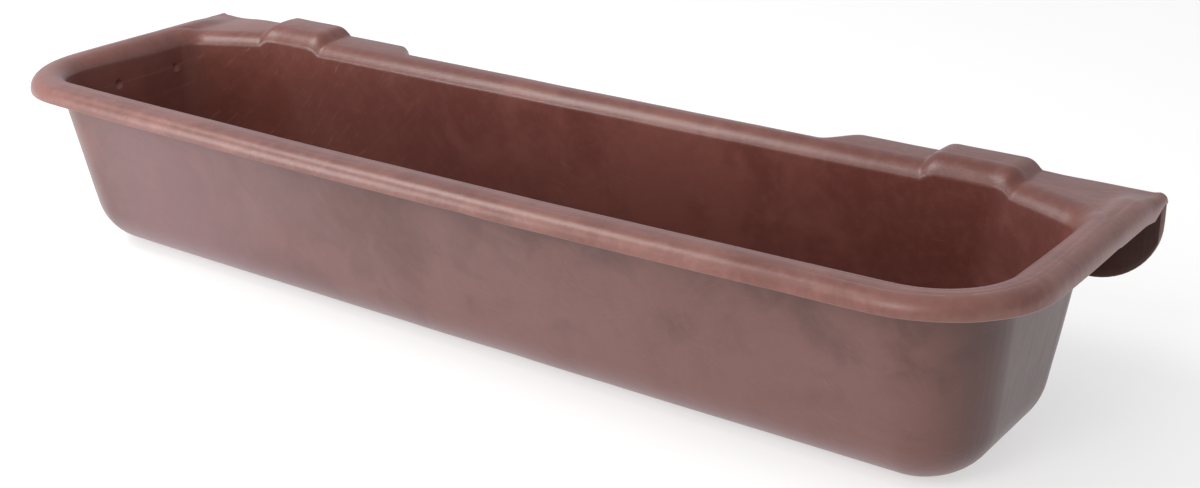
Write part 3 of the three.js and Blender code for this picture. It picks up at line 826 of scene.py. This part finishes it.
def plastic():
    """Compression-moulded brown plastic: cloudy mottling, hair-like flow marks, drag streaks, pale rubbed edges."""
    N = Nodes("moulded_plastic_brown")
    pos = N.position()
    x, y, z = N.xyz(pos)
    along, across = N.attr("along"), N.attr("across")
    inner, lip, outside = N.attr("inner"), N.attr("lip"), N.attr("outside")
    # large and medium clouds
    big = N.noise(N.mapping(pos, (1.0, 1.4, 1.6)), 3.6, 2.0, 0.5)
    med = N.noise(pos, 24.0, 4.0, 0.58, 0.6)
    fine = N.noise(pos, 120.0, 3.0, 0.6)
    # flow marks: stretched noise in a gently turning field
    warp = N.noise(pos, 7.0, 2.0, 0.5, color=True)
    field = N.combine(along, across, x)
    turned = N.vadd(field, N.vscale(warp, 0.22))
    hair_a = N.noise(N.mapping(turned, (34, 300, 8), (0, 0, 0.9)), 1.0, 4.0, 0.62, 0.35)
    hair_b = N.noise(N.mapping(turned, (46, 260, 6), (0, 0, -0.7)), 1.0, 4.0, 0.6, 0.5)
    hair = N.math("MAXIMUM", N.range(hair_a, 0.6, 0.78), N.range(hair_b, 0.62, 0.8))
    patches = N.range(N.noise(pos, 6.5, 2.0, 0.5), 0.42, 0.66)
    hair = N.math("MULTIPLY", hair, patches)
    # drag streaks down the outside of the ends and corners
    drag = N.noise(N.combine(N.math("MULTIPLY", along, 95.0), N.math("MULTIPLY", across, 5.0), N.math("MULTIPLY", x, 2.0)), 1.0, 4.0, 0.55)
    ends = N.range(N.math("ABSOLUTE", x), 0.40, 0.455)
    drag = N.math("MULTIPLY", N.range(drag, 0.3, 0.72), ends)
    # colour
    deep = (0.132, 0.0420, 0.0310)
    mid = (0.184, 0.0710, 0.0560)
    pale = (0.250, 0.1120, 0.0880)
    tone = N.math("ADD", N.math("MULTIPLY", big, 0.55), N.math("MULTIPLY", med, 0.45))
    tone = N.range(tone, 0.38, 0.62, 0.34, 0.66)
    col = N.mix(N.range(tone, 0.34, 0.66), deep, mid)
    col = N.mix(N.math("MULTIPLY", N.range(fine, 0.42, 0.74), 0.3), col, pale)
    col = N.mix(N.math("MULTIPLY", hair, 0.5), col, pale)
    col = N.mix(N.math("MULTIPLY", drag, 0.2), col, (0.17, 0.088, 0.070))
    # painted shade: the inside of the tub is made darker and redder than the rim
    inside = N.range(inner, 0.1, 0.9)
    col = N.mix(N.math("MULTIPLY", inside, 0.55), col, N.mix(N.range(tone, 0.34, 0.66), (0.092, 0.0125, 0.0065), (0.122, 0.0190, 0.0105)))
    # painted reflection: a pale lavender patch on the left of the front, standing for the light from the left; the
    # outer walls are given darker tones than the rim
    pale_patch = N.math("MULTIPLY", N.math("MULTIPLY", outside, N.range(x, 0.02, -0.36)), N.range(x, -0.445, -0.33))
    col = N.mix(N.math("MULTIPLY", outside, 0.62), col, N.mix(N.range(tone, 0.34, 0.66), (0.058, 0.0175, 0.0120), (0.102, 0.0360, 0.0270)))
    col = N.mix(N.math("MULTIPLY", pale_patch, 0.5), col, (0.190, 0.088, 0.098))
    # painted shade: the outer walls at both ends are darkened from about the middle to the rear
    rear_part = N.range(y, -0.15, -0.06)
    painted_shade_far_end = N.math("MULTIPLY", N.range(N.math("ABSOLUTE", x), 0.425, 0.462), rear_part)
    col = N.mix(N.math("MULTIPLY", N.math("MULTIPLY", outside, painted_shade_far_end), 0.75), col, (0.044, 0.0115, 0.0070))
    # the plastic's pale bloom together with a painted sheen on the outer walls: thicker in patches, and thin on the
    # round corners and the ends
    bloom_and_painted_sheen = N.range(N.noise(pos, 8.5, 6.0, 0.68, 0.5), 0.36, 0.66, 0.05, 0.5)
    bloom_and_painted_sheen = N.math("MULTIPLY", bloom_and_painted_sheen, N.math("SUBTRACT", 1.0, N.range(N.math("ABSOLUTE", x), 0.385, 0.455)))
    bloom_and_painted_sheen = N.math("MULTIPLY", bloom_and_painted_sheen, N.math("MULTIPLY", outside, 0.5))
    col = N.mix(bloom_and_painted_sheen, col, (0.180, 0.098, 0.100))
    # painted shade: the underside and the flanges' inner faces are painted dull and dark
    col = N.mix(N.range(inner, -0.9, -0.4, 0.8, 0.0), col, (0.028, 0.0050, 0.0025))
    # painted shade: the tub's inside is darker and redder towards the bottom; fine pale drag marks on the left of the
    # rear wall
    low = N.math("MULTIPLY", inside, N.range(z, 0.145, 0.03, 0.0, 0.5))
    col = N.mix(low, col, (0.052, 0.0085, 0.0050))
    slant = N.noise(N.combine(N.math("MULTIPLY", N.math("ADD", x, z), 26.0), N.math("MULTIPLY", N.math("SUBTRACT", x, z), 240.0), N.math("MULTIPLY", y, 6.0)), 1.0, 4.0, 0.6, 0.4)
    scuffs = N.math("MULTIPLY", N.range(slant, 0.56, 0.76), N.math("MULTIPLY", inside, N.range(x, -0.10, -0.30)))
    col = N.mix(N.math("MULTIPLY", scuffs, 0.5), col, (0.250, 0.110, 0.082))
    col = N.mix(N.math("MULTIPLY", N.math("MULTIPLY", inside, N.range(x, -0.16, -0.36)), 0.28), col, (0.190, 0.060, 0.042))
    col = N.mix(N.math("MULTIPLY", lip, 0.35), col, (0.24, 0.125, 0.095))
    N.link(col, N.bsdf.inputs["Base Color"])
    # satin surface
    rough = N.math("ADD", 0.29, N.math("MULTIPLY", med, 0.12))
    rough = N.math("ADD", rough, N.math("MULTIPLY", hair, 0.08))
    rough = N.math("ADD", rough, N.math("MULTIPLY", fine, 0.05))
    N.link(rough, N.bsdf.inputs["Roughness"])
    N.bsdf.inputs["IOR"].default_value = 1.5
    N.bsdf.inputs["Specular IOR Level"].default_value = 0.52
    # a dry bloom that pales the surface where it is seen at a slant
    N.bsdf.inputs["Sheen Weight"].default_value = 0.14
    N.bsdf.inputs["Sheen Roughness"].default_value = 0.48
    N.bsdf.inputs["Sheen Tint"].default_value = (0.97, 0.87, 1.0, 1.0)
    # relief
    peel = N.noise(pos, 650.0, 3.0, 0.6)
    b1 = N.bump(peel, 0.00018, 0.55)
    b2 = N.bump(med, 0.0011, 0.35, b1)
    b3 = N.bump(N.math("ADD", hair, N.math("MULTIPLY", drag, 0.6)), 0.00028, 0.5, b2)
    N.link(b3, N.bsdf.inputs["Normal"])
    return N.mat


def rubber():
    """Matte black rubber with a faint bloom and moulding grain."""
    N = Nodes("bung_rubber_black")
    pos = N.position()
    grain = N.noise(pos, 900.0, 4.0, 0.65)
    pale_patch = N.noise(pos, 70.0, 3.0, 0.55, 0.8)
    col = N.mix(N.range(pale_patch, 0.35, 0.7), (0.0105, 0.0098, 0.0095), (0.026, 0.0245, 0.0235))
    N.link(col, N.bsdf.inputs["Base Color"])
    N.link(N.math("ADD", 0.55, N.math("MULTIPLY", pale_patch, 0.22)), N.bsdf.inputs["Roughness"])
    N.bsdf.inputs["Specular IOR Level"].default_value = 0.42
    N.link(N.bump(grain, 0.00012, 0.6), N.bsdf.inputs["Normal"])
    return N.mat


def floor_material():
    N = Nodes("pale_floor")
    pos = N.position()
    cloud = N.noise(pos, 1.1, 3.0, 0.5)
    col = N.mix(cloud, (0.47, 0.47, 0.47), (0.50, 0.50, 0.50))
    N.link(col, N.bsdf.inputs["Base Color"])
    # a softly back-lit sweep, so that the ground stays pale right up to the object
    N.bsdf.inputs["Emission Color"].default_value = (1.0, 1.0, 1.0, 1.0)
    N.bsdf.inputs["Emission Strength"].default_value = 0.55
    N.link(N.math("ADD", 0.62, N.math("MULTIPLY", cloud, 0.1)), N.bsdf.inputs["Roughness"])
    N.bsdf.inputs["Specular IOR Level"].default_value = 0.2
    return N.mat


def paint(ob, mat):
    ob.data.materials.clear()
    ob.data.materials.append(mat)


# ------------------------------------------------------------------ pieces
shell = build_shell()
paint(shell, plastic())
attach(shell, "trough")
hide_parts("trough_shell")
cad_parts["trough_shell"].data.materials.clear()
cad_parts["trough_shell"].data.materials.append(shell.data.materials[0])

black = rubber()
for label, side, body in (("left", -1, "left_bung"), ("right", 1, "right_bung")):
    plug = build_bung("bung_" + label, side)
    paint(plug, black)
    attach(plug, body)
    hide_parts("drain_bung_" + label)

# ------------------------------------------------------------------ floor, light
bm = bmesh.new()
bmesh.ops.create_grid(bm, x_segments=24, y_segments=24, size=9.0)
me = bpy.data.meshes.new("floor")
bm.to_mesh(me)
bm.free()
floor = bpy.data.objects.new("floor", me)
bpy.context.scene.collection.objects.link(floor)
floor.location = (0, 0, -0.0004)
paint(floor, floor_material())


def area_light(name, where, aim, size, power, color=(1, 1, 1)):
    data = bpy.data.lights.new(name, "AREA")
    data.shape = "RECTANGLE"
    data.size, data.size_y = size
    data.energy = power
    data.color = color
    ob = bpy.data.objects.new(name, data)
    bpy.context.scene.collection.objects.link(ob)
    ob.location = where
    ob.rotation_mode = "QUATERNION"
    ob.rotation_quaternion = (Vector(where) - Vector(aim)).to_track_quat("Z", "Y")
    return ob


area_light("key", (-1.16, -0.68, 1.76), (0, 0, 0.1), (0.9, 0.9), 25, (1.0, 0.985, 0.965))
area_light("front", (0.30, -1.80, 1.40), (0, 0, 0.1), (0.9, 0.9), 17, (1.0, 0.985, 0.97))
area_light("low_left", (-0.98, -1.05, 0.45), (-0.33, -0.1, 0.1), (0.6, 0.6), 9.5, (0.985, 0.985, 1.0))

world = bpy.data.worlds.new("studio")
world.use_nodes = True
wt = world.node_tree
wt.nodes.clear()
bg = wt.nodes.new("ShaderNodeBackground")
wo = wt.nodes.new("ShaderNodeOutputWorld")
bg.inputs[0].default_value = (0.985, 0.985, 1.0, 1.0)
bg.inputs[1].default_value = 0.59
wt.links.new(bg.outputs[0], wo.inputs[0])
scene = bpy.context.scene
scene.world = world
scene.view_settings.view_transform = "Standard"
scene.view_settings.look = "None"
scene.view_settings.exposure = 0.0
scene.view_settings.gamma = 1.0
